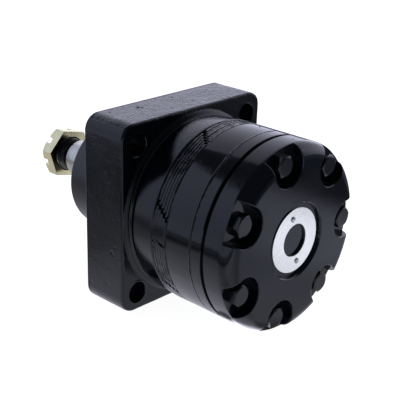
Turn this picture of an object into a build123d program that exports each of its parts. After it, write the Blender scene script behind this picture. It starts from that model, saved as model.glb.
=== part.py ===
from build123d import *
import math
import os

# Low speed, high torque hydraulic wheel motor of the roller-stator orbit type.
#
# Frame: X is the output shaft's axis, the shaft points to -X (front) and the end
# cover faces +X (rear), +Z is up.  The origin is the centre of the flange's
# mounting face.  Angles run in the YZ plane from +Y towards +Z.  Millimetres, degrees.

os.makedirs("parts", exist_ok=True)

# ---------------------------------------------------------------- driving sizes
FIT = 0.03               # radial clearance of fitted parts
JOINT_GAP = 0.01         # gap at each end of a thick body section
# flange and pilot
FLANGE_SIDE = 132.0      # width along Y
FLANGE_TOP, FLANGE_BOTTOM = 67.5, 65.5   # above and below the shaft axis
FLANGE_T = 36.4
FLANGE_CORNER_R = 11.0
FLANGE_FRONT_EDGE, FLANGE_REAR_EDGE = 1.4, 1.7   # cast edge rounding
MOUNT_OFFSET, MOUNT_HOLE_R = 52.2, 7.35  # holes at (+-offset, +-offset)
PILOT_X, PILOT_R = -46.9, 41.25
# body stack, along X
BODY_R = 63.5
BOSS_STEP_X, BOSS_STEP_R = FLANGE_T + 1.0, 64.2
BOSS_X, BOSS_R = 39.3, 60.6
NECK_R = 59.0            # narrow groove behind the boss
BARREL_X, BARREL_R = 42.6, 62.2   # front of the barrel, which widens to the body radius
HOUSING_X1 = 61.7
PLATES, PLATE_T = 5, 2.34
STATOR_X0 = HOUSING_X1 + PLATE_T * PLATES
STATOR_X1 = 94.6
BALANCE_X1 = 103.3
SPIGOT_X1, SPIGOT_R = 105.3, 61.6
COVER_X1 = 127.5
COVER_RIM_R = 9.5
PLATE_EDGE = 0.24        # broken edge on each side of every plate rim
JOINT_EDGE = 0.35        # broken edges of the thicker sections
# bores of the housing
SEAL_BORE_R, DUST_BORE_R = 24.0, 23.0
FRONT_BORE_R, THRUST_BORE_R, REAR_BORE_R = 26.0, 35.5, 40.0
# face seal grooves in the body sections
GROOVE_RI, GROOVE_RO, GROOVE_DEPTH = 59.0, 61.2, 1.5
# ports in the +Y side of the flange
PORT_X, PORT_Z, PORT_R, PORT_DEPTH = 18.0, 22.0, 10.25, 17.0
PORT_SEAT_DEPTH, PORT_SEAT_R = 0.5, 16.0
PORT_CONE = 1.8
FEED_R, FEED_Y = 3.8, 43.2   # feed hole from the +Z port into the manifold
# body bolts
BOLTS = 7
BOLT_ANGLES = [i * 360.0 / BOLTS for i in range(BOLTS)]
BOLT_PITCH_R = 53.2
BOLT_R, BOLT_HOLE_R = 4.0, 4.25
BOLT_FLATS = 13.0
BOLT_TURNS = [10.6, 2.5, 58.0, 57.6, 19.3, 45.9, 24.0]   # turn of each head about its axis
BOLT_FLOOR, BOLT_TOP, BOLT_END = 119.5, 124.9, 47.0
POCKET_R = 13.1          # pocket around each bolt head
POCKET_FLARE = 2.5       # degrees that each pocket side opens outwards
POCKET_END = 76.0        # pocket reach from the shaft axis, beyond the rim
# cover centre
RECESS_R, RECESS_FLOOR = 25.8, 125.0
EYE_R, EYE_FLOOR = 11.0, 124.2
TAG_RO, TAG_X = 21.87, 126.0
SCREW_PITCH_R, SCREW_ANGLE = 15.6, 102.0   # two drive screws, opposite each other
# shaft end
NUT_X0, NUT_X1, NUT_FLATS = -108.8, -97.0, 34.93
NUT_ANGLE, SLOT_W, SLOT_DEPTH = 106.7, 5.2, 5.2
NUT_MOUTH_R, NUT_MOUTH_L = 13.6, 0.9
SHAFT_END, COTTER_X, COTTER_R = -107.6, -104.7, 1.9
THREAD_R, THREAD_PITCH, THREAD_STOP = 12.7, 1.27, -87.2
TAPER_X0, TAPER_X1 = -86.0, -50.0
TAPER_R0, TAPER_R1 = 13.65, 15.9
JOURNAL_R, SHAFT_HEAD_R, SHAFT_SOCKET_R = 18.0, 31.0, 15.5
# woodruff key, standing towards +Y
KEY_W, KEY_R = 7.94, 12.7
KEY_X, KEY_Y, KEY_TOP = -69.0, 19.8, 18.2
# stator rollers and rotor
ROLLERS = 7
ROLLER_PITCH_R, ROLLER_R = 36.0, 8.2
ROLLER_CLEARANCE = 0.04
ROLLER_ANGLE_0 = 180.0 / ROLLERS   # roller 1, midway between two bolts
ROLLER_ANGLES = [ROLLER_ANGLE_0 + k * 360 / ROLLERS for k in range(ROLLERS)]
ECCENTRICITY = 2.9
ROTOR_POINTS = 144
# drive link
PIVOT_X, ROTOR_X = 24.0, 84.0
LINK_SPLINE_L = 12.0
SPLINE_TEETH = 12


# ---------------------------------------------------------------- helpers
def polar(radius, angle):
    return radius * math.cos(math.radians(angle)), radius * math.sin(math.radians(angle))


def turned(*points):
    """Solid of revolution about X from (x, r) points."""
    return revolve(make_face(Polyline(*points, close=True)), Axis.X, 360)


def turned_with_arc(before, arc_middle, after):
    """Solid of revolution whose outline has one arc between two runs of (x, r) points."""
    with BuildPart() as part:
        with BuildSketch(Plane.XY):
            with BuildLine():
                Polyline(*before)
                ThreePointArc(before[-1], arc_middle, after[0])
                Polyline(*after, before[0])
            make_face()
        revolve(axis=Axis.X)
    return part.part


def ring(x0, x1, r_in, r_out):
    return turned((x0, r_in), (x1, r_in), (x1, r_out), (x0, r_out))


def rim(x0, x1, r_in, r_out, edge):
    """Ring whose outer edges are broken by a small chamfer."""
    return turned((x0, r_in), (x1, r_in), (x1, r_out - edge), (x1 - edge, r_out),
                  (x0 + edge, r_out), (x0, r_out - edge))


def rod(x0, x1, radius, y=0.0, z=0.0):
    return Pos((x0 + x1) / 2, y, z) * Rot(0, 90, 0) * Cylinder(radius, x1 - x0)


def y_rod(y0, y1, radius, x, z=0.0):
    return Pos(x, (y0 + y1) / 2, z) * Rot(90, 0, 0) * Cylinder(radius, y1 - y0)


def hex_bar(x0, x1, corner_r, turn, y=0.0, z=0.0):
    outline = Plane.YZ * (Rot(0, 0, turn) * RegularPolygon(corner_r, 6))
    return extrude(Pos(x0, y, z) * outline, x1 - x0, dir=(1, 0, 0))


def bolt_holes(x0, x1, radius=BOLT_HOLE_R):
    return Part() + [rod(x0, x1, radius, *polar(BOLT_PITCH_R, a)) for a in BOLT_ANGLES]


def front_groove(x):
    """Seal groove cutter in a face that looks to -X."""
    return ring(x - 1, x + GROOVE_DEPTH, GROOVE_RI, GROOVE_RO)


def rear_groove(x):
    """Seal groove cutter in a face that looks to +X."""
    return ring(x - GROOVE_DEPTH, x + 1, GROOVE_RI, GROOVE_RO)


def spline_blocks(x0, x1, y, z, radius, radial, width):
    """Ring of blocks, one for each spline tooth or groove, about an axis at (y, z)."""
    return Part() + [Pos((x0 + x1) / 2, y, z) * Rot(k * 360 / SPLINE_TEETH, 0, 0)
                     * Pos(0, radius, 0) * Box(x1 - x0, radial, width)
                     for k in range(SPLINE_TEETH)]


def spline_bore(x0, x1, y=0.0, z=0.0):
    """Cutter of a straight sided internal spline: minor bore and grooves."""
    return rod(x0, x1, 11.6, y, z) + spline_blocks(x0, x1, y, z, 12.3, 2.6, 3.6)


def save(name, shape):
    """Write one piece; a list of solids becomes a compound."""
    if isinstance(shape, list) and not isinstance(shape, ShapeList):
        shape = Compound(children=shape)
    shape.label = name
    export_step(shape, "parts/%s.step" % name)


# ---------------------------------------------------------------- housing
def flange():
    block = Pos(FLANGE_T / 2, 0, (FLANGE_TOP - FLANGE_BOTTOM) / 2) * Box(
        FLANGE_T, FLANGE_SIDE, FLANGE_TOP + FLANGE_BOTTOM)
    block = fillet(block.edges().filter_by(Axis.X), FLANGE_CORNER_R)
    block = fillet(block.faces().sort_by(Axis.X)[0].edges(), FLANGE_FRONT_EDGE)
    return fillet(block.faces().sort_by(Axis.X)[-1].edges(), FLANGE_REAR_EDGE)


def barrel():
    """Stepped boss, neck, rounded shoulder and barrel."""
    root = FLANGE_T - 2
    before = [(root, 0), (root, BOSS_STEP_R), (BOSS_STEP_X - 0.4, BOSS_STEP_R),
              (BOSS_STEP_X, BOSS_STEP_R - 0.4), (BOSS_STEP_X, BOSS_R + 0.6),
              (BOSS_STEP_X + 0.6, BOSS_R), (BOSS_X - 0.4, BOSS_R), (BOSS_X, BOSS_R - 0.4),
              (BOSS_X, NECK_R + 0.5), (BOSS_X + 0.3, NECK_R), (BARREL_X - 0.2, NECK_R),
              (BARREL_X, NECK_R + 0.3), (BARREL_X, BARREL_R - 0.6)]
    after = [(BARREL_X + 0.7, BARREL_R + 0.08), (HOUSING_X1 - 2.2, BODY_R - 0.1),
             (HOUSING_X1 - JOINT_EDGE, BODY_R), (HOUSING_X1, BODY_R - JOINT_EDGE),
             (HOUSING_X1, 0)]
    return turned_with_arc(before, (BARREL_X + 0.2, BARREL_R - 0.15), after)


def housing():
    pilot = turned((PILOT_X, 0), (PILOT_X, PILOT_R - 1.0), (PILOT_X + 1.0, PILOT_R),
                   (2.0, PILOT_R), (2.0, 0))
    dust_r = DUST_BORE_R + FIT
    bores = turned((PILOT_X - 1, 0), (PILOT_X - 1, 24.0), (PILOT_X, 24.0),
                   (PILOT_X + 1.0, dust_r), (-41.7, dust_r), (-41.7, 18.5), (-39.0, 18.5),
                   (-39.0, SEAL_BORE_R), (-28.97, SEAL_BORE_R), (-28.97, FRONT_BORE_R),
                   (-6.03, FRONT_BORE_R), (-6.03, THRUST_BORE_R), (37.97, THRUST_BORE_R),
                   (37.97, REAR_BORE_R), (HOUSING_X1 + 1, REAR_BORE_R), (HOUSING_X1 + 1, 0))
    body = flange() + barrel() + pilot - bores
    # mounting holes, chamfered at both ends
    rear, hole_r = FLANGE_T, MOUNT_HOLE_R
    for y in (-MOUNT_OFFSET, MOUNT_OFFSET):
        for z in (-MOUNT_OFFSET, MOUNT_OFFSET):
            body -= rod(-5, rear + 5, hole_r, y, z)
            body -= Pos(0, y, z) * turned((rear - 0.4, 0), (rear - 0.4, hole_r),
                                          (rear + 0.1, hole_r + 0.5), (rear + 0.1, 0))
            body -= Pos(0, y, z) * turned((0.5, 0), (0.5, hole_r),
                                          (-0.1, hole_r + 0.6), (-0.1, 0))
    body -= bolt_holes(44.5, HOUSING_X1 + 1, BOLT_R + 0.04)
    # ports: spot face, bore and lead-in cone
    side = FLANGE_SIDE / 2
    seat = side - PORT_SEAT_DEPTH
    for z in (-PORT_Z, PORT_Z):
        body -= y_rod(seat, side + 5, PORT_SEAT_R, PORT_X, z)
        body -= y_rod(seat - PORT_DEPTH, side, PORT_R, PORT_X, z)
        body -= (Pos(PORT_X, seat - PORT_CONE / 2, z) * Rot(-90, 0, 0)
                 * Cone(PORT_R, PORT_R + PORT_CONE, PORT_CONE))
    # passages inwards from the ports, then the feed hole to the rear face
    body -= y_rod(28.0, side - PORT_DEPTH, 6.0, PORT_X, -PORT_Z)
    body -= y_rod(41.0, side - PORT_DEPTH, 6.0, PORT_X, PORT_Z)
    body -= rod(PORT_X, HOUSING_X1 + 1, FEED_R, FEED_Y, PORT_Z)
    return body - rear_groove(HOUSING_X1)


# ---------------------------------------------------------------- laminated manifold
# rim notches, seven of each kind:
# angle of the first at the middle plate, step per plate, half width at the rim, depth
NOTCHES = [(110.9, 1.85, 2.0, 1.5),
           (130.6, 0.45, 1.1, 0.85)]
HOLE_SHIFT = 12.86       # a quarter of the roller pitch, degrees


def manifold_plate(n):
    """Plate n of the stack, counted from 0 at the housing."""
    x0 = HOUSING_X1 + n * PLATE_T
    x1 = x0 + PLATE_T
    start, end = x0 - 1, x1 + 1   # ends of the through cutters
    plate = rim(x0 + (0.005 if n else JOINT_GAP), x1 - 0.005, 19.0,
                BODY_R - 0.08 * (n % 2), PLATE_EDGE)
    plate -= bolt_holes(start, end)
    plate -= rod(start, end, FEED_R, FEED_Y, PORT_Z)
    for k, angle in enumerate(ROLLER_ANGLES):
        plate -= rod(start, end, 2.6 if n <= 2 else 2.4, *polar(29.0, angle - HOLE_SHIFT))
        # the first outer hole is left out, next to the feed hole
        if n == 2 and k > 0:
            plate -= rod(start, end, 2.6, *polar(45.0, angle))
        if n > 2:
            plate -= rod(start, end, 2.4, *polar(31.0, angle + HOLE_SHIFT))
    for first, step, half_width, depth in NOTCHES:
        radius = (half_width ** 2 + depth ** 2) / (2 * depth)
        for k in range(7):
            angle = first + k * 360 / 7 + step * (n - 2)
            plate -= rod(start, end, radius, *polar(BODY_R - depth + radius, angle))
    return plate


# ---------------------------------------------------------------- stator and rotor
def stator_ring():
    stator = rim(STATOR_X0 + JOINT_GAP, STATOR_X1 - JOINT_GAP, 33.9, BODY_R, JOINT_EDGE)
    stator -= bolt_holes(STATOR_X0 - 1, STATOR_X1 + 1)
    for angle in ROLLER_ANGLES:
        stator -= rod(STATOR_X0 - 1, STATOR_X1 + 1, ROLLER_R + ROLLER_CLEARANCE,
                      *polar(ROLLER_PITCH_R, angle))
    stator -= front_groove(STATOR_X0)
    return stator - rear_groove(STATOR_X1)


def stator_roller(angle):
    roller = rod(STATOR_X0 + 0.06, STATOR_X1 - 0.06, ROLLER_R, *polar(ROLLER_PITCH_R, angle))
    return chamfer(roller.edges(), 0.5)


ROTOR_Y, ROTOR_Z = polar(ECCENTRICITY, ROLLER_ANGLE_0)   # rotor centre


def rotor():
    """Six lobes: a trochoid offset inwards by the roller radius and its clearance."""
    offset = ROLLER_R + ROLLER_CLEARANCE
    cos_0, sin_0 = polar(1, ROLLER_ANGLE_0)
    points = []
    for i in range(ROTOR_POINTS):
        t = 2 * math.pi * i / ROTOR_POINTS
        y = ROLLER_PITCH_R * math.cos(t) - ECCENTRICITY * math.cos(ROLLERS * t)
        z = ROLLER_PITCH_R * math.sin(t) - ECCENTRICITY * math.sin(ROLLERS * t)
        dy = -ROLLER_PITCH_R * math.sin(t) + ROLLERS * ECCENTRICITY * math.sin(ROLLERS * t)
        dz = ROLLER_PITCH_R * math.cos(t) - ROLLERS * ECCENTRICITY * math.cos(ROLLERS * t)
        length = math.hypot(dy, dz)
        y, z = y - offset * dz / length, z + offset * dy / length
        points.append((y * cos_0 - z * sin_0 + ROTOR_Y, y * sin_0 + z * cos_0 + ROTOR_Z))
    outline = Plane.YZ * make_face(Spline(*points, periodic=True))
    solid = extrude(Pos(STATOR_X0 + 0.05, 0, 0) * outline, STATOR_X1 - STATOR_X0 - 0.1,
                    dir=(1, 0, 0))
    return solid - spline_bore(STATOR_X0 - 1, STATOR_X1 + 1, ROTOR_Y, ROTOR_Z)


def drive_spacer():
    disc = rod(91.3, 94.4, 11.2, ROTOR_Y, ROTOR_Z)
    return chamfer(disc.edges(), 0.4)


# ---------------------------------------------------------------- drive link
def link_spline(middle):
    """External spline with crowned teeth."""
    half = LINK_SPLINE_L / 2
    x0, x1 = middle - half, middle + half
    crown = turned((x0, 12.2), (middle - half / 2, 12.85), (middle, 13.0),
                   (middle + half / 2, 12.85), (x1, 12.2), (x1, 0), (x0, 0))
    return (rod(x0, x1, 10.9) + spline_blocks(x0, x1, 0, 0, 11.6, 2.8, 2.7)) & crown


def drive_link():
    link = link_spline(PIVOT_X) + link_spline(ROTOR_X)
    link += turned((PIVOT_X + 5, 0), (PIVOT_X + 5, 10.4), (PIVOT_X + 12, 9.4),
                   (ROTOR_X - 12, 9.4), (ROTOR_X - 5, 10.4), (ROTOR_X - 5, 0))
    # tilt about the pivot so that the far end meets the rotor's centre
    tilt = math.degrees(math.atan2(ECCENTRICITY, ROTOR_X - PIVOT_X))
    across_y, across_z = polar(1, ROLLER_ANGLE_0)
    return link.rotate(Axis((PIVOT_X, 0, 0), (0, -across_z, across_y)), tilt)


# ---------------------------------------------------------------- balance plate
def balance_plate():
    plate = rim(STATOR_X1 + JOINT_GAP, BALANCE_X1 - JOINT_GAP, 8.0, BODY_R, JOINT_EDGE)
    plate -= bolt_holes(STATOR_X1 - 1, BALANCE_X1 + 1)
    plate -= rear_groove(BALANCE_X1)
    plate -= ring(BALANCE_X1 - 2.0, BALANCE_X1 + 1, 40.0, 43.0)
    for angle in ROLLER_ANGLES:
        plate -= rod(STATOR_X1 - 1, STATOR_X1 + 1.5, 2.4, *polar(30.0, angle))
    return plate


# ---------------------------------------------------------------- end cover
SCREWS = [polar(SCREW_PITCH_R, SCREW_ANGLE), polar(SCREW_PITCH_R, SCREW_ANGLE + 180)]
RIM_X, RIM_FACE_R = COVER_X1 - COVER_RIM_R, BODY_R - COVER_RIM_R   # ends of the rim arc


def pocket():
    """Plan of one bolt pocket, bolt centre at local (BOLT_PITCH_R, 0)."""
    flare = math.radians(POCKET_FLARE)
    x = BOLT_PITCH_R - POCKET_R * math.sin(flare)
    y = POCKET_R * math.cos(flare)
    y_end = y + (POCKET_END - x) * math.tan(flare)
    sides = Polyline((x, -y), (POCKET_END, -y_end), (POCKET_END, y_end), (x, y), close=True)
    return make_face(sides) + Pos(BOLT_PITCH_R, 0) * Circle(POCKET_R)


def is_pocket_edge(edge):
    """True for curved edges where a pocket cuts the rear face or the rim."""
    centre, box = edge.center(), edge.bounding_box()
    if not (centre.X > BOLT_FLOOR + 0.3
            and 38.5 < math.hypot(centre.Y, centre.Z) < 64.5
            and box.max.X > BOLT_FLOOR + 1.0
            and edge.geom_type != GeomType.LINE):
        return False
    # leave out full circles and the arcs where the rim rounding meets the rear face
    radii = [math.hypot(v.Y, v.Z) for v in edge.vertices()]
    return not (len(radii) < 2
                or (abs(box.max.X - box.min.X) < 1e-6
                    and abs(max(radii) - min(radii)) < 1e-3
                    and abs(max(radii) - RIM_FACE_R) < 0.05))


def end_cover():
    before = [(BALANCE_X1 + JOINT_GAP, 0), (BALANCE_X1 + JOINT_GAP, SPIGOT_R),
              (SPIGOT_X1, SPIGOT_R), (SPIGOT_X1, BODY_R - 0.8), (SPIGOT_X1 + 0.8, BODY_R),
              (RIM_X, BODY_R)]
    after = [(COVER_X1, RIM_FACE_R), (COVER_X1, RECESS_R + 0.3),
             (COVER_X1 - 0.5, RECESS_R - 0.3), (COVER_X1 - 1.3, RECESS_R - 0.6),
             (RECESS_FLOOR, RECESS_R - 1.0), (RECESS_FLOOR, EYE_R + 0.6),
             (RECESS_FLOOR - 0.5, EYE_R), (EYE_FLOOR, EYE_R), (EYE_FLOOR, 0)]
    diagonal = COVER_RIM_R * math.sqrt(0.5)
    cover = turned_with_arc(before, (RIM_X + diagonal, RIM_FACE_R + diagonal), after)
    for angle in BOLT_ANGLES:
        plan = Plane.YZ * (Rot(0, 0, angle) * pocket())
        cover -= extrude(Pos(BOLT_FLOOR, 0, 0) * plan, COVER_X1 - BOLT_FLOOR + 5,
                         dir=(1, 0, 0))
    cover -= bolt_holes(BALANCE_X1 - 1, COVER_X1)
    # guards the pocket edge rounding: if it fails, the edges stay sharp
    try:
        cover = fillet([e for e in cover.edges() if is_pocket_edge(e)], 0.7)
    except Exception:
        pass
    for y, z in SCREWS:
        cover -= rod(RECESS_FLOOR - 4, RECESS_FLOOR + 1, 1.35, y, z)
    return cover


def cover_bolt(angle, turn):
    y, z = polar(BOLT_PITCH_R, angle)
    corner_r = BOLT_FLATS / math.cos(math.radians(30)) / 2
    head = hex_bar(BOLT_FLOOR + 0.02, BOLT_TOP, corner_r, turn, y, z)
    dome = Pos(0, y, z) * turned((BOLT_FLOOR - 1, 0), (BOLT_FLOOR - 1, 12),
                                 (BOLT_TOP - 0.9, 12), (BOLT_TOP - 0.9, corner_r + 0.05),
                                 (BOLT_TOP, BOLT_FLATS / 2 - 0.75), (BOLT_TOP, 0))
    bolt = (head & dome) + rod(BOLT_END, BOLT_FLOOR + 1, BOLT_R, y, z)
    return bolt.solids()[0]


def tag_ring():
    tag = ring(RECESS_FLOOR + 0.02, TAG_X, EYE_R, TAG_RO)
    tag = chamfer(tag.edges().group_by(Axis.X)[-1], 0.15)
    for y, z in SCREWS:
        tag -= rod(RECESS_FLOOR - 1, TAG_X + 1, 1.4, y, z)
    return tag


def tag_screw(y, z):
    head = turned((TAG_X + 0.02, 0), (TAG_X + 0.02, 2.0), (TAG_X + 0.3, 1.95),
                  (TAG_X + 0.7, 1.3), (TAG_X + 0.85, 0))
    screw = (Pos(0, y, z) * head) + rod(RECESS_FLOOR - 3.5, TAG_X + 0.1, 1.25, y, z)
    return screw.solids()[0]


# ---------------------------------------------------------------- output shaft
def output_shaft():
    crest, root = THREAD_R - 0.08, THREAD_R - 0.78
    x = SHAFT_END + 1.0
    profile = [(SHAFT_END, 0), (SHAFT_END, 11.3), (x, 12.2)]
    # thread as plain ridges, one per pitch
    while x + THREAD_PITCH < THREAD_STOP:
        profile += [(x + 0.14, crest), (x + 0.30, crest), (x + 0.72, root), (x + 0.82, root),
                    (x + THREAD_PITCH - 0.05, THREAD_R - 0.15)]
        x += THREAD_PITCH
    # end of thread, taper, seal land, journal, splined head
    profile += [(x + 0.2, crest), (-86.9, crest), (-86.4, 12.5), (TAPER_X0, 12.9),
                (TAPER_X0 + 0.6, TAPER_R0), (TAPER_X1, TAPER_R1), (-40.5, TAPER_R1),
                (-39.9, 17.0), (-29.5, 17.0), (-29.0, JOURNAL_R), (-2.0, JOURNAL_R),
                (1.15, 19.5), (1.15, SHAFT_HEAD_R - 1), (2.15, SHAFT_HEAD_R),
                (59.3, SHAFT_HEAD_R), (60.3, SHAFT_HEAD_R - 1), (60.3, SHAFT_SOCKET_R),
                (36.0, SHAFT_SOCKET_R), (36.0, 0)]
    shaft = turned(*profile)
    shaft -= spline_bore(14.0, 37.0)
    shaft -= turned((9.0, 0), (14.1, 11.0), (14.1, 0))
    shaft -= Pos(KEY_X, KEY_Y, 0) * Cylinder(KEY_R + FIT, KEY_W + 2 * FIT)
    # cross hole for the nut's split pin
    return shaft - Rot(NUT_ANGLE + 30, 0, 0) * y_rod(-20, 20, COTTER_R, COTTER_X)


def woodruff_key():
    key = Pos(KEY_X, KEY_Y, 0) * Cylinder(KEY_R, KEY_W)
    key &= Pos(KEY_X, KEY_TOP - 15, 0) * Box(60, 30, 30)
    return chamfer(key.edges().filter_by(Axis.X).sort_by(Axis.Y)[-2:], 0.3)


def castle_nut():
    corner_r = NUT_FLATS / math.cos(math.radians(30)) / 2
    bore_r = THREAD_R + FIT
    nut = hex_bar(NUT_X0, NUT_X1, corner_r, NUT_ANGLE)
    nut &= turned((NUT_X0, 0), (NUT_X0, 17.0), (NUT_X0 + 0.4, 17.5),
                  (NUT_X0 + 2.4, corner_r + 0.05), (NUT_X1 - 0.25, corner_r + 0.05),
                  (NUT_X1, corner_r - 0.35), (NUT_X1, 0))
    nut -= turned((NUT_X0 - 1, 0), (NUT_X0 - 1, NUT_MOUTH_R), (NUT_X0, NUT_MOUTH_R),
                  (NUT_X0 + NUT_MOUTH_L, bore_r), (NUT_X1 - NUT_MOUTH_L, bore_r),
                  (NUT_X1, NUT_MOUTH_R), (NUT_X1 + 1, NUT_MOUTH_R), (NUT_X1 + 1, 0))
    for k in range(6):
        nut -= (Rot(NUT_ANGLE + 30 + 60 * k, 0, 0) * Pos(NUT_X0 + SLOT_DEPTH / 2 - 1, 17, 0)
                * Box(SLOT_DEPTH + 2, 16, SLOT_W))
    return nut


# ---------------------------------------------------------------- seals
# sections as (x, r) points
DUST_SEAL = [(-46.4, 17.2), (-46.0, 23.0), (-42.0, 23.0), (-42.0, 18.2), (-44.2, 15.95),
             (-45.2, 15.95)]
SHAFT_SEAL = [(-38.9, 18.6), (-38.9, 23.95), (-31.2, 23.95), (-31.2, 21.0), (-36.0, 21.0),
              (-36.0, 18.4), (-33.6, 17.05), (-34.8, 17.05), (-37.2, 18.6)]
# front end of each body seal
BODY_SEALS = {"housing": HOUSING_X1 - 1.45, "stator_front": STATOR_X0 + 0.08,
              "stator_rear": STATOR_X1 - 1.45, "cover": BALANCE_X1 - 1.45}


# ---------------------------------------------------------------- bearings
def save_roller_bearing(name, x0, x1, shaft_r, roller_r, cup_ri, cup_ro, count):
    """Cylindrical roller bearing straight on the shaft."""
    pitch_r = (shaft_r + cup_ri) / 2
    cage = ring(x0 + 2.0, x1 - 2.0, pitch_r - 1.0, pitch_r + 1.0)
    rollers = []
    for k in range(count):
        y, z = polar(pitch_r, k * 360 / count)
        roller = rod(x0 + 4.0, x1 - 4.0, roller_r, y, z)
        rollers.append(chamfer(roller.edges(), 0.25).solids()[0])
        cage -= rod(x0 + 3.9, x1 - 3.9, roller_r + 0.08, y, z)
    save(name + "_cup", ring(x0, x1, cup_ri, cup_ro))
    save(name + "_cage", cage)
    save(name + "_rollers", rollers)


def save_thrust_bearing():
    """Axial bearing between the housing shoulder and the shaft's head."""
    save("thrust_washer_front", ring(-5.95, -3.95, 22.0, 35.0))
    save("thrust_washer_rear", ring(-0.85, 1.10, 22.0, 35.0))
    cage = ring(-3.15, -1.65, 22.5, 34.5)
    rollers = []
    for k in range(16):
        turn = Rot(k * 360 / 16, 0, 0)
        rollers.append((turn * y_rod(24.5, 32.5, 1.5, -2.4)).solids()[0])
        cage -= turn * y_rod(24.4, 32.6, 1.56, -2.4)
    save("thrust_bearing_cage", cage)
    save("thrust_bearing_rollers", rollers)


# ---------------------------------------------------------------- write the pieces
for piece in (housing, stator_ring, rotor, drive_spacer, drive_link, balance_plate,
              end_cover, tag_ring, output_shaft, woodruff_key, castle_nut):
    save(piece.__name__, piece())
for n in range(PLATES):
    save("manifold_plate_%d" % (n + 1), manifold_plate(n))
for k, angle in enumerate(ROLLER_ANGLES):
    save("stator_roller_%d" % (k + 1), stator_roller(angle))
save("cover_bolts", [cover_bolt(a, turn) for a, turn in zip(BOLT_ANGLES, BOLT_TURNS)])
save("tag_screws", [tag_screw(y, z) for y, z in SCREWS])
save("balance_seal", ring(BALANCE_X1 - 1.95, BALANCE_X1 - 0.06, 40.05, 42.95))
save("dust_seal", turned(*DUST_SEAL))
save("shaft_seal", turned(*SHAFT_SEAL))
save("seal_washer", ring(-31.1, -29.1, 18.2, 23.9))
for place, x in BODY_SEALS.items():
    save("body_seal_" + place, ring(x, x + 1.36, GROOVE_RI + 0.08, GROOVE_RO - 0.08))
save_roller_bearing("front_bearing", -28.9, -8.9, shaft_r=JOURNAL_R, roller_r=1.98,
                    cup_ri=22.05, cup_ro=FRONT_BORE_R - FIT, count=16)
save_roller_bearing("rear_bearing", 38.0, 58.0, shaft_r=SHAFT_HEAD_R, roller_r=2.48,
                    cup_ri=36.05, cup_ro=REAR_BORE_R - FIT, count=20)
save_thrust_bearing()
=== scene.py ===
"""Black painted motor with a square cast flange, a round barrel and a tapered shaft.

The shaft axis is X. The mounting face is at x = 0, with the pilot, taper and nut towards -X and
the barrel and end cover towards +X. Z is up. Meshes and shaders are in metres; sizes of the
casting and the paint lumps are in millimetres and are multiplied by MM.
"""
import bpy
import bmesh
import math
import numpy as np
from mathutils import Vector, Matrix, noise


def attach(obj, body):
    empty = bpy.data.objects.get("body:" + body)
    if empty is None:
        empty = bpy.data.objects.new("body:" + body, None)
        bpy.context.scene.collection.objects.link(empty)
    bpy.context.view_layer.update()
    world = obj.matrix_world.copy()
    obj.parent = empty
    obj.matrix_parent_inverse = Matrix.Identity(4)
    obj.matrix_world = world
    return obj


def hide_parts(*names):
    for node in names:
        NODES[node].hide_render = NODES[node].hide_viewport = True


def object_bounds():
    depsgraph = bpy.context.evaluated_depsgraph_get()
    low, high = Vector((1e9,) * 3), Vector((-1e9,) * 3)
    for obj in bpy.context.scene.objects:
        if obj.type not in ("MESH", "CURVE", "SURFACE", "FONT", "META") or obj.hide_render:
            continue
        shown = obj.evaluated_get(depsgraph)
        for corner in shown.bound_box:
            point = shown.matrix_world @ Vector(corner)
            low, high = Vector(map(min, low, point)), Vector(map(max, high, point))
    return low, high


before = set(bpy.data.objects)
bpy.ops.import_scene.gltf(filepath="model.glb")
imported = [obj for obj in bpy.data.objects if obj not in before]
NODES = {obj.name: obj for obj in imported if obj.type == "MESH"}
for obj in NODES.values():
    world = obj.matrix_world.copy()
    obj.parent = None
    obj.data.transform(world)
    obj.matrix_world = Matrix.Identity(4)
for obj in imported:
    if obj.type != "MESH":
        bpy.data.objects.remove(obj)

CAD_BOUNDS = [list(corner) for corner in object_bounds()]
MM = 0.001
scene = bpy.context.scene

# Casting, millimetres
BOLT_HOLE = 52.2          # bolt hole centres, from the axis in y and in z
FLANGE_TOP = 67.5
FLANGE_BOTTOM = -65.5
FLANGE_HALF = 66.0        # half width in y
FLANGE_REAR = 36.4        # x of the face towards +X
PILOT_RADIUS = 41.25
PILOT_END = -46.9
VOXEL = 0.56

# Barrel, millimetres
BARREL_RADIUS = 63.5
STACK_START = 61.7        # first seam of the thin plates
PLATE = 2.34              # thickness of a thin plate
STACK_STRENGTHS = (1.0, 0.8, 0.9, 0.8, 0.8, 0.9)
STACK_END = STACK_START + (len(STACK_STRENGTHS) - 1) * PLATE
COVER_SEAM = 94.6
COVER_EDGE = 103.3

# Studio, metres
CENTRE_X = 0.043          # centre of the floor
FLOOR_GAP = 0.0001
FLOOR_RINGS = (0.1, 0.2, 0.4, 0.8, 1.6, 4.0)
FLOOR_SEGMENTS = 96


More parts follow.
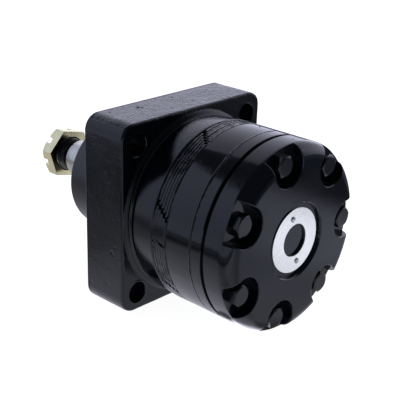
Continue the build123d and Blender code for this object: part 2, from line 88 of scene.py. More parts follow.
# ------------------------------------------------------------------ shader nodes
class Field:
    """Output of a shader node. Arithmetic on it adds the nodes that work out the result."""

    def __init__(self, tree, socket):
        self.tree = tree
        self.socket = socket

    def add(self, kind, inputs, output=0, **settings):
        return add_node(self.tree, kind, inputs, output, **settings)

    def apply(self, operation, *others):
        return math_node(self.tree, operation, self, *others)

    def __add__(self, other):
        return self.apply("ADD", other)

    def __radd__(self, other):
        return math_node(self.tree, "ADD", other, self)

    def __sub__(self, other):
        return self.apply("SUBTRACT", other)

    def __rsub__(self, other):
        return math_node(self.tree, "SUBTRACT", other, self)

    def __mul__(self, other):
        return self.apply("MULTIPLY", other)

    def ramp(self, start, end, low=0.0, high=1.0, shape="SMOOTHSTEP"):
        """Low up to start, high from end on; start may be the larger of the two."""
        limits = {"From Min": start, "From Max": end, "To Min": low, "To Max": high}
        return self.add("ShaderNodeMapRange", {"Value": self, **limits}, interpolation_type=shape)

    def band(self, edge, other_edge):
        """1 between two edges, each given as (where it is 0, where it is 1)."""
        return self.ramp(*edge) * self.ramp(*other_edge)

    def mix_colors(self, color, other):
        """From color to other as this value goes from 0 to 1."""
        return self.add("ShaderNodeMix", {"Factor": self, 6: color, 7: other}, 2,
                        data_type="RGBA")

    def mix_values(self, value, other):
        return self.add("ShaderNodeMix", {"Factor": self, 2: value, 3: other}, data_type="FLOAT")

    def tint(self, color):
        """The colour at this brightness."""
        return self.add("ShaderNodeVectorMath", {0: color, "Scale": self}, operation="SCALE")

    def combine(self, operation, vector, output=0):
        return self.add("ShaderNodeVectorMath", {0: self, 1: vector}, output, operation=operation)

    def distance(self, point):
        return self.combine("DISTANCE", point, "Value")

    def parts(self):
        node = self.tree.nodes.new("ShaderNodeSeparateXYZ")
        set_inputs(self.tree, node, {0: self})
        return [Field(self.tree, output) for output in node.outputs]

    def noise(self, scale, detail, rough=0.5, warp=0.0):
        return self.add("ShaderNodeTexNoise", {"Vector": self, "Scale": scale, "Detail": detail,
                                               "Roughness": rough, "Distortion": warp})

    def bump(self, distance, strength=1.0):
        return self.add("ShaderNodeBump", {"Height": self, "Strength": strength,
                                           "Distance": distance}, "Normal")


def set_inputs(tree, node, values):
    """Link each Field, or store each number, vector or RGB colour."""
    for key, value in values.items():
        socket = node.inputs[key]
        if isinstance(value, Field):
            tree.links.new(value.socket, socket)
        elif socket.type == "RGBA":
            socket.default_value = (*value, 1.0)
        else:
            socket.default_value = value


def add_node(tree, kind, inputs, output=0, **settings):
    node = tree.nodes.new(kind)
    for name, value in settings.items():
        setattr(node, name, value)
    set_inputs(tree, node, inputs)
    return Field(tree, node.outputs[output])


def math_node(tree, operation, *operands):
    return add_node(tree, "ShaderNodeMath", dict(enumerate(operands)), operation=operation)


def vector(x, y, z):
    return z_tree(x, y, z), {0: x, 1: y, 2: z}


def z_tree(*values):
    """Node tree of the first Field among the values."""
    return next(value.tree for value in values if isinstance(value, Field))


def join(x, y, z):
    """Vector from three parts, at least one of them a Field."""
    tree, inputs = vector(x, y, z)
    return add_node(tree, "ShaderNodeCombineXYZ", inputs)


def object_place(tree):
    return add_node(tree, "ShaderNodeTexCoord", {}, "Object")


def normal_parts(tree):
    return add_node(tree, "ShaderNodeNewGeometry", {}, "Normal").parts()


def camera_ray(tree):
    return add_node(tree, "ShaderNodeLightPath", {}, "Is Camera Ray")


def root_of_squares(first, second):
    return (first * first + second * second).apply("SQRT")


def new_material(name):
    material = bpy.data.materials.new(name)
    material.use_nodes = True
    tree = material.node_tree
    return material, tree, tree.nodes["Principled BSDF"]


def scaled(color, factor):
    return tuple(part * factor for part in color)


# ------------------------------------------------------------------ camera
def make_camera():
    """Camera towards +X and -Y of the motor, looking slightly down at it."""
    turn, height, roll = [math.radians(angle) for angle in (43.09, 22.03, 1.66)]
    target = Vector((42.81, 0, 2.68))
    target_distance = 653.3
    right = Vector((math.cos(turn), math.sin(turn), 0))
    back = Vector((math.sin(turn) * math.cos(height), -math.cos(turn) * math.cos(height),
                   math.sin(height)))
    up = back.cross(right)
    rolled_right = right * math.cos(roll) + up * math.sin(roll)
    rolled_up = -right * math.sin(roll) + up * math.cos(roll)
    pose = Matrix((rolled_right, rolled_up, back)).transposed().to_4x4()
    pose.translation = (target + back * target_distance) * MM
    lens = bpy.data.cameras.new("camera")
    lens.sensor_width = 36
    lens.lens = 85.5765
    lens.clip_start = 0.01
    lens.clip_end = 50
    camera = bpy.data.objects.new("camera", lens)
    scene.collection.objects.link(camera)
    camera.matrix_world = pose
    scene.camera = camera


# ------------------------------------------------------------------ studio
def make_world():
    """Surroundings by elevation and by azimuth: 0 at -Y, positive towards +X, degrees."""
    degrees = 57.29578
    ambient = 0.055
    panel_color = (0.92, 1.0, 1.36)
    backdrop_color = (0.98, 0.99, 1.24)
    world = bpy.data.worlds.new("studio")
    scene.world = world
    world.use_nodes = True
    tree = world.node_tree
    x, y, z = add_node(tree, "ShaderNodeTexCoord", {}, "Generated").parts()
    elevation = z.apply("ARCSINE") * degrees
    azimuth = x.apply("ARCTAN2", y * -1.0) * degrees
    # panel on the -X side; its upper edge shifts either side of the middle
    panel = azimuth.band((-104, -100), (-16, -24))
    beyond = ((azimuth + 90.0) * -1.0).apply("MAXIMUM", 0.0) * 0.33
    edge_shift = beyond - (azimuth + 70.0).apply("MAXIMUM", 0.0) * 0.25
    panel = panel * (elevation - edge_shift).ramp(start=47.6, end=46.0)
    panel_light = elevation.ramp(start=0, end=42, low=0.46, high=0.60)
    # backdrop on the +Y side, brightest low down
    backdrop = azimuth.ramp(start=-100.0, end=-104.0).apply(
        "MAXIMUM", azimuth.ramp(start=128, end=150))
    backdrop = backdrop * elevation.ramp(start=66, end=52)
    backdrop_light = elevation.ramp(start=0, end=52, low=1.34, high=0.44, shape="LINEAR")
    # narrow, stronger light low in the backdrop
    strip = azimuth.band((-168, -158), (-143, -153)) * elevation.ramp(start=20, end=8)
    backdrop_light = backdrop_light + strip * 0.6
    light = ambient + (panel * panel_light + backdrop * backdrop_light)
    color = light.tint(panel.mix_colors(backdrop_color, panel_color))
    # the camera itself sees plain white
    set_inputs(tree, tree.nodes["Background"], {
        "Color": camera_ray(tree).mix_colors(color, (1.0, 1.0, 1.0)), "Strength": 1.0})


def floor_reflection(tree):
    """Colour of the floor as the paint reflects it: a pale sheet with darker zones, metres."""
    x, y, _ = object_place(tree).parts()
    radius = root_of_squares(x - CENTRE_X, y) if False else floor_radius(x, y)
    side = y.apply("ABSOLUTE")
    light = radius.ramp(start=0.02, end=0.09, low=0.72, high=0.84)
    light *= radius.ramp(start=0.085, end=0.165, low=1.0, high=0.57)
    # darker gap past the edge of the sheet
    gap_light = side.ramp(start=0.230, end=0.262, low=0.17, high=0.38)
    gap = y.ramp(start=-0.02, end=0.02).mix_values(gap_light, 0.14)
    light *= side.ramp(start=0.178, end=0.226).mix_values(1.0, gap)
    # slightly dimmer strip on the -Y side
    strip = y.band((-0.070, -0.082), (-0.135, -0.105))
    light *= 1.0 - strip * 0.16
    # dimmer towards -X and -Y
    corner = x.ramp(start=-0.02, end=-0.07, low=0.0, high=0.42)
    corner = corner * y.ramp(start=-0.09, end=-0.13) * y.ramp(start=-0.27, end=-0.22)
    light *= 1.0 - corner
    # brighter on the +Y side of the cover, and past its end
    lift = y.band((0.06, 0.11), (0.21, 0.15)) * x.ramp(start=0.12, end=0.16)
    light *= 1.0 + lift * 0.45
    light *= x.ramp(start=0.150, end=0.185, low=1.0, high=1.5)
    # small dark spot, dark patch and bright spot below the cover
    dark_spot = join(x, y, 0.0).distance((0.093, -0.036, 0.0))
    light *= dark_spot.ramp(start=0.004, end=0.010, low=0.15, high=1.0)
    patch = x.band((0.120, 0.124), (0.146, 0.134)) * y.band((-0.030, -0.023), (0.020, 0.0))
    light *= 1.0 - patch * 0.65
    bright_spot = join(x, y, 0.0).distance((0.112, -0.026, 0.0))
    light += bright_spot.ramp(start=0.018, end=0.008, low=0.0, high=2.1)
    # far floor
    far = side.ramp(start=0.325, end=0.352, low=0.0, high=0.36)
    far *= radius.ramp(start=0.25, end=0.36)
    far *= y.ramp(start=-0.02, end=0.02, low=1.0, high=0.35)
    sheet_color = x.ramp(start=0.150, end=0.185).mix_colors((0.97, 0.97, 1.13),
                                                            (0.94, 0.97, 1.18))
    return light.tint(sheet_color).combine("ADD", far.tint((0.92, 1.0, 1.36)))


def floor_radius(x, y):
    return root_of_squares(x - CENTRE_X, y)


def floor_material():
    """Near white to the camera; every other ray gets the reflection colour."""
    material, tree, bsdf = new_material("floor_pale")
    tree.nodes.remove(bsdf)
    reflected = add_node(tree, "ShaderNodeEmission", {"Color": floor_reflection(tree),
                                                      "Strength": 1.0})
    glow = add_node(tree, "ShaderNodeEmission", {"Color": (1, 1, 1), "Strength": 0.95})
    mottle = object_place(tree).noise(scale=900, detail=3, rough=0.6)
    matt = add_node(tree, "ShaderNodeBsdfDiffuse", {
        "Color": mottle.mix_colors((0.86, 0.86, 0.86), (0.90, 0.90, 0.90))})
    seen = add_node(tree, "ShaderNodeAddShader", {0: glow, 1: matt})
    surface = add_node(tree, "ShaderNodeMixShader", {0: camera_ray(tree), 1: reflected, 2: seen})
    set_inputs(tree, tree.nodes["Material Output"], {"Surface": surface})
    return material


def make_floor():
    """Round floor just below the motor."""
    z = CAD_BOUNDS[0][2] - FLOOR_GAP
    count = FLOOR_SEGMENTS
    verts = [(CENTRE_X, 0, z)]
    for radius in FLOOR_RINGS:
        for i in range(count):
            angle = 2 * math.pi * i / count
            verts.append((CENTRE_X + radius * math.cos(angle), radius * math.sin(angle), z))
    faces = [(0, 1 + i, 1 + (i + 1) % count) for i in range(count)]
    for ring in range(len(FLOOR_RINGS) - 1):
        inner = 1 + ring * count
        outer = inner + count
        for i in range(count):
            j = (i + 1) % count
            faces.append((inner + i, outer + i, outer + j, inner + j))
    mesh = bpy.data.meshes.new("floor")
    mesh.from_pydata(verts, [], faces)
    floor = bpy.data.objects.new("floor", mesh)
    scene.collection.objects.link(floor)
    mesh.materials.append(floor_material())


# ------------------------------------------------------------------ paint
def cast_grain(tree, place, grain):
    """Heights of the cast skin: fine, finest, and coarse on faces turned up."""
    _, _, normal_z = normal_parts(tree)
    upward = normal_z.ramp(start=0.80, end=0.95)
    return (place.noise(scale=850, detail=3, rough=0.6) * grain,
            place.noise(scale=2400, detail=2, rough=0.6) * (grain * 0.35),
            place.noise(scale=620, detail=2, rough=0.55) * (grain * 4.2) * upward)


def flange_finish(tree, place, color, rough):
    """Duller, greyer pilot; a painted shade on the +X face, by a lower refractive index; rougher
    -Y face.
    """
    x, _, _ = place.parts()
    normal_x, normal_y, _ = normal_parts(tree)
    pilot = x.ramp(start=-0.0004, end=-0.0012)
    # painted shade: the face turned to +X past x = 30 mm gets a lower refractive index and comes
    # out darker
    rear = normal_x.ramp(start=0.80, end=0.97) * x.ramp(start=0.030, end=0.034)
    side = normal_y.ramp(start=-0.80, end=-0.97)
    ior = 1.5 + (pilot * 0.19 - rear * 0.13)
    rough = rough + (pilot * 0.16 + side * 0.07)
    return pilot.mix_colors(color, (0.012, 0.012, 0.0125)), rough, ior


def seam_marks(place, seams, color, rough, height):
    """Dark grooves round the barrel, each with a broken bead of paint along both sides."""
    x, y, z = place.parts()
    # the paint has bridged the seams between thin plates, least towards the top and bottom
    top = z.ramp(start=0.038, end=0.047, low=0.0, high=0.78)
    bottom = z.ramp(start=-0.004, end=-0.022, low=0.0, high=0.45)
    openness = 0.22 + (top + bottom)
    openness *= place.noise(scale=120, detail=2).ramp(start=0.30, end=0.62, low=0.65, high=1.1)
    for seam_x, strength, bridged in seams:
        if bridged:
            strength = openness * strength
        wobble = (join(0.0, y, z).noise(scale=160, detail=3, rough=0.6) - 0.5) * 0.00022
        away = (x + wobble - seam_x * MM).apply("ABSOLUTE")
        groove = away.ramp(start=0.00034, end=0.00016)
        bead = away.band((0.0011, 0.00062), (0.00030, 0.00058))
        bead *= place.noise(scale=210, detail=2).ramp(start=0.35, end=0.62, low=0.25, high=1.0)
        bead *= strength
        groove *= strength
        height += bead * 0.30 - groove * 0.65
        color = (groove * 0.9).mix_colors(color, (0.0006, 0.0006, 0.0008))
        rough += groove * 0.35
    return color, rough, height


def paint_material(name, wave, grain, rough, base=(0.0022, 0.0046, 0.0062), seams=(),
                   flange=False, front_painted_shade=0.0):
    """Black spray paint.

    wave: height of the orange peel. grain: height of the cast skin under the paint.
    seams: (x in millimetres, strength, bridged by paint).
    front_painted_shade: drop of the refractive index on faces turned to +X, a painted shade that
    makes these faces come out darker.
    """
    material, tree, bsdf = new_material(name)
    place = object_place(tree)
    color = place.noise(scale=60, detail=3, rough=0.55).mix_colors(scaled(base, 0.75),
                                                                   scaled(base, 1.3))
    # sparse specks of dust
    cells = add_node(tree, "ShaderNodeTexVoronoi", {"Vector": place, "Scale": 420})
    sparse = place.noise(scale=190, detail=1).ramp(start=0.60, end=0.68)
    speck = cells.ramp(start=0.16, end=0.05) * sparse
    color = (speck * 0.35).mix_colors(color, (0.06, 0.06, 0.066))
    # uneven gloss, with faint dry-spray clouds
    uneven = place.noise(scale=35, detail=4, rough=0.6).ramp(start=0.35, end=0.7)
    rough = rough + uneven * 0.06
    stretched = place.combine("MULTIPLY", (1.0, 1.6, 0.8))
    cloud = stretched.noise(scale=26, detail=4, rough=0.65, warp=0.6)
    rough += cloud.ramp(start=0.52, end=0.72) * 0.05
    height = place.noise(scale=230, detail=2) * wave
    height += place.noise(scale=60, detail=2) * (wave * 1.6)
    ior = 1.5
    if grain > 0:
        for layer in cast_grain(tree, place, grain):
            height += layer
    if flange:
        color, rough, ior = flange_finish(tree, place, color, rough)
    # painted shade: faces turned to +X get a lower refractive index, so they reflect less and come
    # out darker
    if front_painted_shade > 0:
        normal_x, _, _ = normal_parts(tree)
        ior = 1.5 - normal_x.ramp(start=0.80, end=0.97, low=0.0, high=front_painted_shade)
    if seams:
        color, rough, height = seam_marks(place, seams, color, rough, height)
    height += speck * 0.05
    set_inputs(tree, bsdf, {"Base Color": color, "IOR": ior, "Roughness": rough,
                            "Normal": height.bump(distance=0.0005)})
    return material


# ------------------------------------------------------------------ metal, rubber and plastic
def nut_painted_reflection_and_threads(tree, x, y, z, color):
    """Painted dark reflection: dark olive on part of the face turned to +X. Also darker threads
    and slot bottoms.
    """
    normal_x, _, _ = normal_parts(tree)
    radius = root_of_squares(y, z)
    # painted reflection: a dark olive patch where the dark motor face would mirror in the zinc
    dark_reflection = normal_x.ramp(start=0.70, end=0.95) * x.ramp(start=-0.0985, end=-0.0975)
    dark_reflection *= (y + z * 0.8).ramp(start=0.010, end=0.004)
    dark_reflection *= z.ramp(start=-0.0135, end=-0.0100)
    color = (dark_reflection * 0.95).mix_colors(color, (0.030, 0.030, 0.022))
    depth = radius.ramp(start=0.0128, end=0.0122, low=0.0, high=0.75)
    return depth.mix_colors(color, (0.10, 0.09, 0.05))


def shaft_marks(x, y, z, color):
    """Black relief groove and thread; dark smudges and turned lines elsewhere."""
    groove = x.band((-0.0866, -0.0870), (-0.0985, -0.0975)) * 0.97
    color = groove.mix_colors(color, (0.010, 0.010, 0.010))
    smudge = join(x * 60.0, y * 90.0, z * 45.0).noise(scale=1.6, detail=4, rough=0.65)
    smudge = smudge.ramp(start=0.56, end=0.74, low=0.0, high=0.75)
    color = smudge.mix_colors(color, (0.17, 0.17, 0.17))
    line = join(x, 0.0, 0.0).noise(scale=1500, detail=3, rough=0.7)
    line = line.ramp(start=0.42, end=0.66, low=0.0, high=0.35)
    return line.mix_colors(color, (0.33, 0.33, 0.33))


def metal_material(name, color, rough, turned, patch=None, scratch=0.3, patch_scale=140,
                   part=None):
    """Bare metal. turned: height of the turned lines. patch: second colour, in patches.
    scratch: height of the fine marks. part: "nut" for its painted dark reflection and darker
    threads, "shaft" for its own marks."""
    material, tree, bsdf = new_material(name)
    place = object_place(tree)
    x, y, z = place.parts()
    patches = place.noise(scale=patch_scale, detail=4, rough=0.6)
    surface = patches.ramp(start=0.35, end=0.7).mix_colors(color, patch or scaled(color, 0.82))
    if part == "nut":
        surface = nut_painted_reflection_and_threads(tree, x, y, z, surface)
    if part == "shaft":
        surface = shaft_marks(x, y, z, surface)
    # turned lines vary only along the axis
    lines = join(x * 1.0, 0.0, 0.0).noise(scale=3500, detail=3, rough=0.7)
    fine = place.noise(scale=2500, detail=2, rough=0.6)
    height = lines * turned + fine * (scratch * 0.3)
    set_inputs(tree, bsdf, {"Base Color": surface, "Metallic": 1.0,
                            "Roughness": rough + (patches - 0.5) * (rough * 0.8),
                            "Normal": height.bump(distance=0.00006)})
    return material


def seal_material(name, color, rough):
    material, tree, bsdf = new_material(name)
    place = object_place(tree)
    mottle = place.noise(scale=180, detail=4, rough=0.6)
    height = place.noise(scale=1800, detail=3, rough=0.6)
    set_inputs(tree, bsdf, {
        "Base Color": mottle.mix_colors(scaled(color, 0.7), scaled(color, 1.25)),
        "Roughness": mottle.ramp(start=0.2, end=0.8, low=rough - 0.08, high=rough + 0.1),
        "Normal": height.bump(distance=0.0001, strength=0.6)})
    return material


# x in millimetres, strength, whether paint has bridged the seam
SEAMS = [(STACK_START + i * PLATE, strength, 0 < i < len(STACK_STRENGTHS) - 1)
         for i, strength in enumerate(STACK_STRENGTHS)]
SEAMS.append((COVER_SEAM, 0.8, False))

PAINTS = {
    "housing_paint": dict(wave=0.05, grain=0.10, rough=0.10, flange=True),
    "body_paint": dict(wave=0.03, grain=0.0, rough=0.06, seams=SEAMS),
    # the cover and the bolt heads get a painted shade on their faces turned to +X
    "cover_paint": dict(wave=0.045, grain=0.03, rough=0.08, base=(0.0020, 0.0044, 0.0075),
                        front_painted_shade=0.17),
    "bolt_black": dict(wave=0.03, grain=0.05, rough=0.22, base=(0.009, 0.010, 0.012),
                       front_painted_shade=0.15),
}
METALS = {
    "tag_alu": dict(color=(0.95, 0.95, 0.86), rough=0.30, turned=0.0, patch=(0.86, 0.86, 0.79),
                    scratch=1.2, patch_scale=900),
    "zinc_yellow": dict(color=(0.96, 0.88, 0.52), rough=0.28, turned=0.1,
                        patch=(0.88, 0.86, 0.50), scratch=0.5, part="nut"),
    "shaft_steel": dict(color=(0.74, 0.73, 0.66), rough=0.22, turned=1.6, part="shaft"),
    "bearing_steel": dict(color=(0.60, 0.60, 0.61), rough=0.14, turned=0.2),
    "hard_steel": dict(color=(0.42, 0.42, 0.43), rough=0.24, turned=0.4),
    "plate_steel": dict(color=(0.50, 0.50, 0.51), rough=0.30, turned=0.2),
    "cage": dict(color=(0.36, 0.35, 0.32), rough=0.38, turned=0.1),
}
SEALS = {
    "seal_rubber": dict(color=(0.012, 0.012, 0.013), rough=0.5),
    "seal_brown": dict(color=(0.10, 0.035, 0.015), rough=0.45),
    "seal_white": dict(color=(0.75, 0.74, 0.70), rough=0.4),
}


def make_materials():
    return {name: make(name, **look)
            for make, looks in ((paint_material, PAINTS), (metal_material, METALS),
                                (seal_material, SEALS))
            for name, look in looks.items()}


def dress_nodes():
    for node in NODES.values():
        for i, old in enumerate(list(node.data.materials)):
            key = old.name.split(".")[0]
            if key in MATERIALS:
                node.data.materials[i] = MATERIALS[key]


# ------------------------------------------------------------------ cast housing
FLAW_RADIUS = (0.4, 0.9)
# how many rounds, then faces: axis across it, its place, two spans along it, span of depth
RANDOM_FLAWS = [
    (26, [(2, FLANGE_TOP, (2, 33), (-60, 62), (0.12, 0.32))]),
    (16, [(1, -FLANGE_HALF, (2, 33), (-58, 60), (0.12, 0.35)),
          (2, FLANGE_BOTTOM, (2, 33), (-58, 60), (0.12, 0.35))]),
    (18, [(0, FLANGE_REAR, (-62, 62), (-60, 63), (0.1, 0.3))]),
]
# x, y, z, radius, depth; a negative depth stands proud
PLACED_FLAWS = [
    (11.0, -28.7, FLANGE_TOP, 1.3, 0.7), (13.5, -27.0, FLANGE_TOP, 1.0, 0.55),
    (12.5, -31.0, FLANGE_TOP, 0.8, 0.5), (7.4, -50.1, FLANGE_TOP, 0.9, 0.5),
    (9.0, 5.0, FLANGE_TOP, 1.0, 0.4), (24.0, 10.0, FLANGE_TOP, 0.9, 0.45),
    (25.4, -FLANGE_HALF, -21.6, 1.0, 0.55), (26.6, -FLANGE_HALF, -23.2, 0.7, 0.5),
    (24.0, -FLANGE_HALF, -20.6, 0.9, -0.20), (5.3, -FLANGE_HALF, -51.2, 0.8, 0.35),
    (6.2, -FLANGE_HALF, -50.2, 0.8, -0.2), (23.0, -FLANGE_HALF, -49.9, 0.9, -0.2),
    (1.9, -FLANGE_HALF, -29.7, 0.9, -0.2), (20.2, -FLANGE_HALF, 33.4, 0.7, 0.3),
    (FLANGE_REAR, 19.1, 63.9, 1.0, -0.22), (FLANGE_REAR, 21.9, 64.6, 0.8, -0.2),
    (FLANGE_REAR, 2.4, 63.6, 0.7, 0.3),
]


def all_flaws():
    rng = np.random.default_rng(7)
    flaws = []
    for rounds, faces in RANDOM_FLAWS:
        for _ in range(rounds):
            for axis, face, *spans, depth in faces:
                flaw = [rng.uniform(*span) for span in (*spans, FLAW_RADIUS, depth)]
                flaw.insert(axis, face)
                flaws.append(flaw)
    return flaws + PLACED_FLAWS


def noise_at(points, scale, seed):
    """Smooth value in -1..1 for each point, in millimetres."""
    offset = Vector((seed * 17.3, seed * 5.1, seed * 9.7))
    return np.array([noise.noise(Vector(point) + offset) for point in points / scale])


def smooth_step(value, start, end):
    t = np.clip((value - start) / (end - start), 0, 1)
    return t * t * (3 - 2 * t)


def cut_closed(bm, x, keep_rear):
    """Cut at a plane across the shaft axis and close the section again."""
    geom = bm.verts[:] + bm.edges[:] + bm.faces[:]
    bmesh.ops.bisect_plane(bm, geom=geom, dist=1e-7, plane_co=(x * MM, 0, 0),
                           plane_no=(1, 0, 0), clear_inner=keep_rear, clear_outer=not keep_rear)
    edges = [edge for edge in bm.edges if edge.is_boundary]
    bmesh.ops.triangle_fill(bm, use_beauty=True, use_dissolve=False, edges=edges,
                            normal=(-1 if keep_rear else 1, 0, 0))


def split_housing():
    """Untouched part past the flange as a bmesh, and the part before it in fine voxels."""
    mesh = NODES["housing"].data.copy()
    rear = bmesh.new()
    rear.from_mesh(mesh)
    bmesh.ops.remove_doubles(rear, verts=rear.verts, dist=1e-6)
    rear.to_mesh(mesh)
    cut_closed(rear, FLANGE_REAR + 0.05, True)
    work = bpy.data.objects.new("housing_work", mesh)
    scene.collection.objects.link(work)
    remesh = work.modifiers.new("vox", "REMESH")
    remesh.mode = "VOXEL"
    remesh.voxel_size = VOXEL * MM
    evaluated = work.evaluated_get(bpy.context.evaluated_depsgraph_get())
    voxels = bpy.data.meshes.new_from_object(evaluated)
    bpy.data.objects.remove(work)
    front = bmesh.new()
    front.from_mesh(voxels)
    # reaches a little into the rear part
    cut_closed(front, FLANGE_REAR + 0.8, False)
    front.to_mesh(voxels)
    front.free()
    return rear, voxels


def read_vectors(vertices, attribute):
    flat = np.empty(len(vertices) * 3)
    vertices.foreach_get(attribute, flat)
    return flat.reshape(-1, 3)


def restore_machined(points, normals, radius):
    """Put machined surfaces back exactly. radius is from the axis, before any move."""
    x = points[:, 0]
    faces_front = normals[:, 0] < -0.9
    points[(np.abs(x) < 0.35) & (radius > PILOT_RADIUS + 0.5) & faces_front, 0] = 0.0
    pilot = (np.abs(radius - PILOT_RADIUS) < 0.4) & (x < -0.4) & (x > PILOT_END + 1.2)
    pilot &= np.abs(normals[:, 0]) < 0.3
    points[pilot, 1:] *= (PILOT_RADIUS / radius[pilot])[:, None]
    points[(np.abs(x - PILOT_END) < 0.35) & faces_front & (radius < PILOT_RADIUS), 0] = PILOT_END
    # step down inside the separate rear part
    tuck = (x > FLANGE_REAR + 0.04) & (radius > 60)
    points[tuck, 1:] *= ((radius[tuck] - 0.5) / radius[tuck])[:, None]


def skin_depth(points):
    """How far the cast skin lies below the nominal flange surface."""
    up = smooth_step(points[:, 2], FLANGE_TOP - 4, FLANGE_TOP - 1)
    rear = smooth_step(points[:, 0], FLANGE_REAR - 1.5, FLANGE_REAR - 0.5)
    rough = (0.055 + 0.105 * up) * (1 - 0.45 * rear)
    side = np.where((points[:, 1] < -FLANGE_HALF + 3), 0.015, 0)
    depth = rough * noise_at(points, 0.80, 1) + (rough * 0.42 + side) * noise_at(points, 2.1, 2)
    depth += 0.07 * noise_at(points, 6.0, 3) + 0.16 * noise_at(points, 21.0, 4)
    depth = 0.22 + 0.08 * up + np.maximum(depth, -0.20 - 0.08 * up)
    for x, y, z, radius, flaw_depth in all_flaws():
        away = np.hypot(np.hypot(points[:, 0] - x, points[:, 1] - y), points[:, 2] - z)
        near = away < radius * 1.9
        depth[near] += flaw_depth * np.exp(-(away[near] / (radius * 0.62)) ** 2 * 0.5)
    return np.maximum(depth, 0.0)


def roughen_cast(points, normals, radius):
    """Sink the cast faces, fading out at the mounting face and round the bolt holes."""
    x, y, z = points.T
    hole = np.min([np.hypot(y - sy * BOLT_HOLE, z - sz * BOLT_HOLE)
                   for sy in (-1, 1) for sz in (-1, 1)], axis=0)
    cast = (x > 0.9) & (x < FLANGE_REAR + 0.03) & (radius > 62) & (hole > 8.1)
    inside = (np.abs(y) < FLANGE_HALF - 3) & (z < FLANGE_TOP - 3) & (z > FLANGE_BOTTOM + 3)
    cast &= ~(inside & (x < FLANGE_REAR - 0.8))
    index = np.nonzero(cast)[0]
    skin = points[index]
    fade = smooth_step(skin[:, 0], 0.9, 2.2) * smooth_step(hole[index], 8.1, 9.0)
    points[index] -= normals[index] * (skin_depth(skin) * fade)[:, None]


def join_parts(rear, voxels):
    """One mesh of two closed parts."""
    both = bmesh.new()
    both.from_mesh(voxels)
    rear_mesh = bpy.data.meshes.new("rear")
    rear.to_mesh(rear_mesh)
    rear.free()
    both.from_mesh(rear_mesh)
    mesh = bpy.data.meshes.new("housing_casting")
    both.to_mesh(mesh)
    both.free()
    bpy.data.meshes.remove(rear_mesh)
    bpy.data.meshes.remove(voxels)
    return mesh


def cast_housing():
    rear, voxels = split_housing()
    points = read_vectors(voxels.vertices, "co") / MM
    normals = read_vectors(voxels.vertices, "normal")
    radius = np.hypot(points[:, 1], points[:, 2])
    restore_machined(points, normals, radius)
    roughen_cast(points, normals, radius)
    voxels.vertices.foreach_set("co", (points * MM).ravel())
    mesh = join_parts(rear, voxels)
    housing = bpy.data.objects.new("housing_casting", mesh)
    scene.collection.objects.link(housing)
    mesh.materials.append(MATERIALS["housing_paint"])
    for face in mesh.polygons:
        face.use_smooth = True
        face.material_index = 0
    mesh.set_sharp_from_angle(angle=math.radians(32))
    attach(housing, "motor_body")
    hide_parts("housing")


# ------------------------------------------------------------------ paint lumps on the barrel
SUNK = 0.5                # depth of each lump below the surface
# x, angle from +Y towards +Z, width, height
NIBS = [
    (83.3, 79.8, 0.55, 0.30), (114.4, 84.3, 0.50, 0.28), (88.0, 150.5, 0.35, 0.12),
    (79.5, 128.0, 0.4, 0.14), (98.6, 141.0, 0.3, 0.12), (91.0, 104.0, 0.35, 0.14),
    (101.0, -132.0, 0.4, 0.15), (110.5, 46.0, 0.4, 0.15),
]
# (x, angle, radius) along the run, then its half width and height
SAGS = [
    ([(61.9, -179.8, 63.45), (65.6, -178.8, 63.5), (69.4, -176.6, 63.5), (73.2, -175.8, 63.45)],
     0.85, 0.34),
    ([(60.2, -176.8, 63.45), (62.6, -174.6, 63.5), (64.6, -172.0, 63.5)], 0.5, 0.26),
    ([(66.6, -158.0, 63.45), (69.6, -153.0, 63.5), (72.8, -149.0, 63.5)], 0.55, 0.24),
    ([(62.0, -160.0, 63.45), (63.6, -152.0, 63.5), (64.6, -146.0, 63.45)], 0.45, 0.22),
]


def barrel_frame(x, angle, radius):
    """Point on the barrel, the direction outwards and the direction round the axis."""
    a = math.radians(angle)
    out = Vector((0, math.cos(a), math.sin(a)))
    return Vector((x, radius * out.y, radius * out.z)), out, Vector((0, -math.sin(a), math.cos(a)))


def add_nib(bm, x, angle, radius, width, height, seed):
    """Closed, lumpy grain half sunk in the paint."""
    centre, out, around = barrel_frame(x, angle, radius)
    along = Vector((1, 0, 0))
    rows, segments = 6, 10
    jitter = np.random.default_rng(seed).uniform(0.72, 1.2, (rows + 1, segments))
    top = bm.verts.new((centre + out * height) * MM)
    low = bm.verts.new((centre - out * SUNK) * MM)
    rings = []
    for i in range(1, rows):
        polar = math.pi * i / rows
        rise = (height if math.cos(polar) > 0 else SUNK) * math.cos(polar)
        ring = []
        for j in range(segments):
            a = 2 * math.pi * j / segments
            reach = width * math.sin(polar) * jitter[i, j]
            spoke = along * math.cos(a) * 1.25 + around * math.sin(a)
            ring.append(bm.verts.new((centre + spoke * reach + out * rise) * MM))
        rings.append(ring)
    for j in range(segments):
        k = (j + 1) % segments
        bm.faces.new((top, rings[0][j], rings[0][k]))
        bm.faces.new((low, rings[-1][k], rings[-1][j]))
        for ring, below in zip(rings, rings[1:]):
            bm.faces.new((ring[j], below[j], below[k], ring[k]))


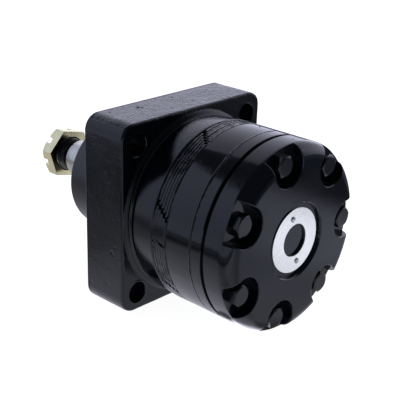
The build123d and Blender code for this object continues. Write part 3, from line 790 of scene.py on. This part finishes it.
def add_sag(bm, path, width, height, seed):
    """Closed run of thick paint, tapering to both ends."""
    rng = np.random.default_rng(seed)
    steps, segments = 26, 8
    path = np.array(path, float)
    frames = [barrel_frame(*[np.interp(s, range(len(path)), path[:, k]) for k in range(3)])
              for s in np.linspace(0, len(path) - 1, steps)]
    rings = []
    for i, (centre, out, _) in enumerate(frames):
        ahead = frames[min(i + 1, steps - 1)][0]
        heading = (ahead - frames[max(i - 1, 0)][0]).normalized()
        side = out.cross(heading).normalized()
        size = math.sin(math.pi * (i + 0.5) / steps) ** 0.6 * rng.uniform(0.75, 1.1)
        ring = []
        for j in range(segments):
            a = 2 * math.pi * j / segments
            rise = height * size if math.sin(a) > 0 else SUNK
            point = centre + side * math.cos(a) * width * size + out * math.sin(a) * rise
            ring.append(bm.verts.new(point * MM))
        rings.append(ring)
    for ring, after in zip(rings, rings[1:]):
        for j in range(segments):
            k = (j + 1) % segments
            bm.faces.new((ring[j], ring[k], after[k], after[j]))
    for end in (0, -1):
        tip = bm.verts.new(frames[end][0] * MM)
        for j in range(segments):
            bm.faces.new((rings[end][j], rings[end][(j + 1) % segments], tip))


def paint_lumps():
    bm = bmesh.new()
    for i, (x, angle, width, height) in enumerate(NIBS):
        add_nib(bm, x, angle, BARREL_RADIUS, width, height, 20 + i)
    # small scattered nibs, clear of the seams
    rng = np.random.default_rng(5)
    for i in range(22):
        x, angle = rng.uniform(64, 122), rng.uniform(-175, 175)
        clear = min(abs(x - seam) for seam in (COVER_SEAM, COVER_EDGE, STACK_END)) > 1.2
        if clear and x < 103:
            add_nib(bm, x, angle, BARREL_RADIUS - 0.02, rng.uniform(0.2, 0.38),
                    rng.uniform(0.07, 0.14), 60 + i)
    for i, (path, width, height) in enumerate(SAGS):
        add_sag(bm, path, width, height, 90 + i)
    bmesh.ops.recalc_face_normals(bm, faces=bm.faces)
    mesh = bpy.data.meshes.new("paint_lumps")
    bm.to_mesh(mesh)
    bm.free()
    for face in mesh.polygons:
        face.use_smooth = True
    mesh.materials.append(MATERIALS["cover_paint"])
    lumps = bpy.data.objects.new("paint_lumps", mesh)
    scene.collection.objects.link(lumps)
    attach(lumps, "motor_body")


make_camera()
make_world()
make_floor()
scene.view_settings.view_transform = "Standard"
scene.view_settings.look = "None"
MATERIALS = make_materials()
dress_nodes()
cast_housing()
paint_lumps()
